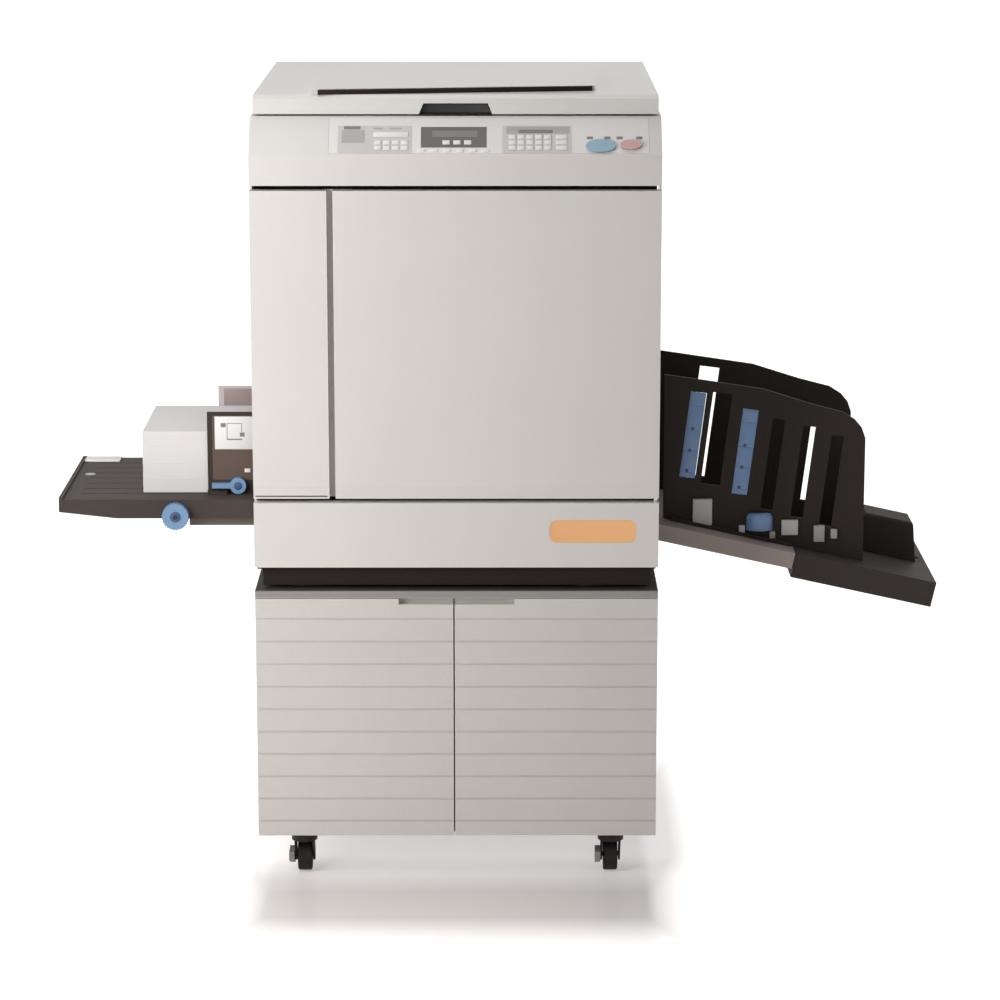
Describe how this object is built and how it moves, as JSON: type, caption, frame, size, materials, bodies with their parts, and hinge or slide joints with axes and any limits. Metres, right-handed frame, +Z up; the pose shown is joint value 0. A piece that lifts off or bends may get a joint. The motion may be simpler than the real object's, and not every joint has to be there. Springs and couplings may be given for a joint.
{
  "type": "digital duplicator",
  "caption": "Floor-standing digital duplicator on a two-door castor cabinet, with hinged lid, front door, paper feed tray and sloping receiving tray.",
  "frame": {"origin": "on the floor, under the middle of the whole object's box, trays included", "axes": "+X towards the receiving tray, +Y to the rear, +Z up"},
  "size_m": [1.377, 0.64, 1.22],
  "materials": {
    "body_white": "fine moulded texture, satin",
    "cabinet_paint": "particle board, coated satin",
    "panel_white": "smooth printed panel",
    "display_glass": "glossy window",
    "dark_frame": "dark painted sheet",
    "inner_steel": "zinc plated sheet",
    "bright_steel": "ground steel",
    "tray_dark": "dark moulded texture",
    "tray_taupe": "moulded texture",
    "box_mauve": "moulded texture",
    "arm_grey": "moulded texture",
    "blue_plastic": "smooth moulded",
    "start_blue": "glossy key",
    "stop_red": "glossy key",
    "black_rubber": "matt rubber",
    "roller_rubber": "ground rubber",
    "caster_grey": "moulded",
    "platen_glass": "float glass",
    "pad_white": "foam faced with white film",
    "paper_white": "uncoated sheets",
    "drum_screen": "fine screen",
    "ink_plastic": "blow moulded",
    "board_green": "solder resist",
    "motor_black": "painted",
    "switch_black": "smooth moulded"
  },
  "bodies": {
    "machine": {"cabinet_carcass": "cabinet_paint", "caster_plates": "bright_steel", "machine_feet": "black_rubber", "chassis_frame": "inner_steel", "base_front_cover": "body_white", "left_front_cover": "body_white", "left_side_cover": "body_white", "right_side_cover": "body_white", "rear_cover": "body_white", "hinge_pins": "bright_steel", "scanner_housing": "body_white", "control_panel": "panel_white", "lcd_display": "display_glass", "platen_glass": "platen_glass", "scanner_rails": "bright_steel", "drive_motor": "motor_black", "control_boards": "board_green", "power_inlet": "switch_black", "feed_head": "tray_dark", "receiving_tray": "tray_taupe"},
    "lid": {"platen_cover": "body_white", "original_pad": "pad_white"},
    "drum_unit": {"drum_frame": "inner_steel", "ink_bottle": "ink_plastic"},
    "cabinet_door_left": {"cabinet_door_left": "cabinet_paint"},
    "cabinet_door_right": {"cabinet_door_right": "cabinet_paint"},
    "front_door": {"front_door": "body_white"},
    "start_key": {"start_key": "start_blue"},
    "stop_key": {"stop_key": "stop_red"},
    "scan_carriage": {"scan_carriage": "switch_black"},
    "print_drum": {"print_drum": "drum_screen"},
    "pressure_roller": {"pressure_roller": "roller_rubber"},
    "master_unit": {"master_unit": "tray_taupe"},
    "power_switch": {"power_switch": "switch_black"},
    "pickup_roller": {"pickup_roller": "roller_rubber"},
    "feed_roller": {"feed_roller": "roller_rubber"},
    "feed_elevator": {"feed_elevator": "arm_grey"},
    "feed_tray": {"feed_tray": "tray_dark"},
    "paper_stack": {"paper_stack": "paper_white"},
    "feed_guide_front": {"feed_guide_front": "tray_dark"},
    "feed_guide_rear": {"feed_guide_rear": "tray_dark"},
    "guide_lock_lever": {"guide_lock_lever": "blue_plastic"},
    "position_dial": {"position_dial": "blue_plastic"},
    "disposal_box": {"disposal_box": "box_mauve"},
    "tray_extension": {"tray_extension": "tray_dark"},
    "receiving_guide_front": {"receiving_guide_front": "tray_dark"},
    "receiving_guide_rear": {"receiving_guide_rear": "tray_dark"},
    "paper_stopper": {"paper_stopper": "tray_dark"},
    "arranger_left": {"arranger_left": "blue_plastic"},
    "arranger_right": {"arranger_right": "blue_plastic"},
    "brake_lever_left": {"brake_lever_left": "caster_grey"},
    "caster_fork_front_left": {"caster_fork_front_left": "caster_grey"},
    "caster_wheel_front_left": {"caster_wheel_front_left": "black_rubber"},
    "caster_fork_rear_left": {"caster_fork_rear_left": "caster_grey"},
    "caster_wheel_rear_left": {"caster_wheel_rear_left": "black_rubber"},
    "brake_lever_right": {"brake_lever_right": "caster_grey"},
    "caster_fork_front_right": {"caster_fork_front_right": "caster_grey"},
    "caster_wheel_front_right": {"caster_wheel_front_right": "black_rubber"},
    "caster_fork_rear_right": {"caster_fork_rear_right": "caster_grey"},
    "caster_wheel_rear_right": {"caster_wheel_rear_right": "black_rubber"}
  },
  "joints": [
    {"name": "lid_hinge", "type": "hinge", "parent": "machine", "child": "lid", "pos_m": [-0.0645, 0.3, 1.195], "axis": [-1, 0, 0], "range_deg": [0, 70]},
    {"name": "front_door_hinge", "type": "hinge", "parent": "machine", "child": "front_door", "pos_m": [0.2365, -0.305, 0.841], "axis": [0, 0, 1], "range_deg": [0, 95]},
    {"name": "drum_slide", "type": "slide", "parent": "machine", "child": "drum_unit", "axis": [0, -1, 0], "range_m": [0, 0.231]},
    {"name": "master_slide", "type": "slide", "parent": "machine", "child": "master_unit", "axis": [0, -1, 0], "range_m": [0, 0.116]},
    {"name": "drum_spin", "type": "hinge", "parent": "drum_unit", "child": "print_drum", "pos_m": [-0.0445, 0.01, 0.77], "axis": [0, 1, 0], "continuous": true},
    {"name": "pressure_roller_spin", "type": "hinge", "parent": "machine", "child": "pressure_roller", "pos_m": [-0.0445, 0.01, 0.6596], "axis": [0, 1, 0], "continuous": true},
    {"name": "pickup_spin", "type": "hinge", "parent": "machine", "child": "pickup_roller", "pos_m": [-0.2905, 0.01, 0.6835], "axis": [0, 1, 0], "continuous": true},
    {"name": "feed_roller_spin", "type": "hinge", "parent": "machine", "child": "feed_roller", "pos_m": [-0.2395, 0.01, 0.6835], "axis": [0, 1, 0], "continuous": true},
    {"name": "tray_lift", "type": "slide", "parent": "machine", "child": "feed_elevator", "axis": [0, 0, 1], "range_m": [-0.012, 0]},
    {"name": "dial_turn", "type": "hinge", "parent": "feed_tray", "child": "position_dial", "pos_m": [-0.5055, -0.1535, 0.542], "axis": [0, 1, 0], "range_deg": [-180, 180]},
    {"name": "tray_shift", "type": "slide", "parent": "feed_elevator", "child": "feed_tray", "axis": [0, 1, 0], "range_m": [-0.01, 0.01]},
    {"name": "feed_guide_front_slide", "type": "slide", "parent": "feed_tray", "child": "feed_guide_front", "axis": [0, -1, 0], "range_m": [0, 0.025]},
    {"name": "feed_guide_rear_slide", "type": "slide", "parent": "feed_tray", "child": "feed_guide_rear", "axis": [0, 1, 0], "range_m": [0, 0.025]},
    {"name": "lock_lever_turn", "type": "hinge", "parent": "feed_guide_front", "child": "guide_lock_lever", "pos_m": [-0.4105, -0.1063, 0.581], "axis": [0, 1, 0], "range_deg": [0, 40]},
    {"name": "paper_unload", "type": "slide", "parent": "feed_tray", "child": "paper_stack", "axis": [-1, 0, 0], "range_m": [0, 0.11]},
    {"name": "disposal_box_slide", "type": "slide", "parent": "machine", "child": "disposal_box", "axis": [-1, 0, 0], "range_m": [0, 0.15]},
    {"name": "receiving_guide_front_slide", "type": "slide", "parent": "machine", "child": "receiving_guide_front", "axis": [0, 1, 0], "range_m": [-0.035, 0.05]},
    {"name": "receiving_guide_rear_slide", "type": "slide", "parent": "machine", "child": "receiving_guide_rear", "axis": [0, -1, 0], "range_m": [-0.035, 0.05]},
    {"name": "tray_extension_slide", "type": "slide", "parent": "machine", "child": "tray_extension", "axis": [0.9767, 0, -0.2147], "range_m": [0, 0.08]},
    {"name": "stopper_slide", "type": "slide", "parent": "tray_extension", "child": "paper_stopper", "axis": [0.9767, 0, -0.2147], "range_m": [-0.015, 0.015]},
    {"name": "arranger_left_turn", "type": "hinge", "parent": "receiving_guide_front", "child": "arranger_left", "pos_m": [0.30495, -0.097, 0.65981], "axis": [0.1219, 0, 0.9925], "range_deg": [0, 20]},
    {"name": "arranger_right_turn", "type": "hinge", "parent": "receiving_guide_front", "child": "arranger_right", "pos_m": [0.38765, -0.097, 0.63271], "axis": [0.1219, 0, 0.9925], "range_deg": [0, 20]},
    {"name": "cabinet_door_left_hinge", "type": "hinge", "parent": "machine", "child": "cabinet_door_left", "pos_m": [-0.3655, -0.307, 0.26365], "axis": [0, 0, -1], "range_deg": [0, 100]},
    {"name": "cabinet_door_right_hinge", "type": "hinge", "parent": "machine", "child": "cabinet_door_right", "pos_m": [0.2365, -0.307, 0.26365], "axis": [0, 0, 1], "range_deg": [0, 100]},
    {"name": "caster_front_left_swivel", "type": "hinge", "parent": "machine", "child": "caster_fork_front_left", "pos_m": [-0.3025, -0.277, 0.0565], "axis": [0, 0, 1], "continuous": true},
    {"name": "caster_front_left_roll", "type": "hinge", "parent": "caster_fork_front_left", "child": "caster_wheel_front_left", "pos_m": [-0.3025, -0.259, 0.025], "axis": [1, 0, 0], "continuous": true},
    {"name": "caster_rear_left_swivel", "type": "hinge", "parent": "machine", "child": "caster_fork_rear_left", "pos_m": [-0.3025, 0.277, 0.0565], "axis": [0, 0, 1], "continuous": true},
    {"name": "caster_rear_left_roll", "type": "hinge", "parent": "caster_fork_rear_left", "child": "caster_wheel_rear_left", "pos_m": [-0.3025, 0.295, 0.025], "axis": [1, 0, 0], "continuous": true},
    {"name": "caster_front_right_swivel", "type": "hinge", "parent": "machine", "child": "caster_fork_front_right", "pos_m": [0.1735, -0.277, 0.0565], "axis": [0, 0, 1], "continuous": true},
    {"name": "caster_front_right_roll", "type": "hinge", "parent": "caster_fork_front_right", "child": "caster_wheel_front_right", "pos_m": [0.1735, -0.259, 0.025], "axis": [1, 0, 0], "continuous": true},
    {"name": "caster_rear_right_swivel", "type": "hinge", "parent": "machine", "child": "caster_fork_rear_right", "pos_m": [0.1735, 0.277, 0.0565], "axis": [0, 0, 1], "continuous": true},
    {"name": "caster_rear_right_roll", "type": "hinge", "parent": "caster_fork_rear_right", "child": "caster_wheel_rear_right", "pos_m": [0.1735, 0.295, 0.025], "axis": [1, 0, 0], "continuous": true},
    {"name": "brake_lever_left_press", "type": "hinge", "parent": "caster_fork_front_left", "child": "brake_lever_left", "pos_m": [-0.322, -0.259, 0.025], "axis": [1, 0, 0], "range_deg": [-12, 12]},
    {"name": "brake_lever_right_press", "type": "hinge", "parent": "caster_fork_front_right", "child": "brake_lever_right", "pos_m": [0.154, -0.259, 0.025], "axis": [1, 0, 0], "range_deg": [-12, 12]},
    {"name": "scan_drive", "type": "slide", "parent": "machine", "child": "scan_carriage", "axis": [1, 0, 0], "range_m": [0, 0.38]},
    {"name": "start_key_press", "type": "slide", "parent": "machine", "child": "start_key", "axis": [0, 0.7623, -0.6472], "range_m": [0, 0.0025], "stiffness_N_per_m": 600, "springref_m": -0.001},
    {"name": "stop_key_press", "type": "slide", "parent": "machine", "child": "stop_key", "axis": [0, 0.7623, -0.6472], "range_m": [0, 0.0025], "stiffness_N_per_m": 600, "springref_m": -0.001},
    {"name": "power_switch_rock", "type": "hinge", "parent": "machine", "child": "power_switch", "pos_m": [0.2335, 0.282, 0.561], "axis": [0, 1, 0], "range_deg": [-6, 6]}
  ],
  "couplings": [
    {"joint": "drum_slide", "follows": "front_door_hinge", "m_per_rad": 0.13872},
    {"joint": "master_slide", "follows": "front_door_hinge", "m_per_rad": 0.06936},
    {"joint": "pressure_roller_spin", "follows": "drum_spin", "ratio": -6.3333},
    {"joint": "feed_roller_spin", "follows": "pickup_spin", "ratio": 1},
    {"joint": "dial_turn", "follows": "tray_shift", "rad_per_m": 314},
    {"joint": "feed_guide_rear_slide", "follows": "feed_guide_front_slide", "ratio": 1},
    {"joint": "receiving_guide_rear_slide", "follows": "receiving_guide_front_slide", "ratio": 1}
  ]
}
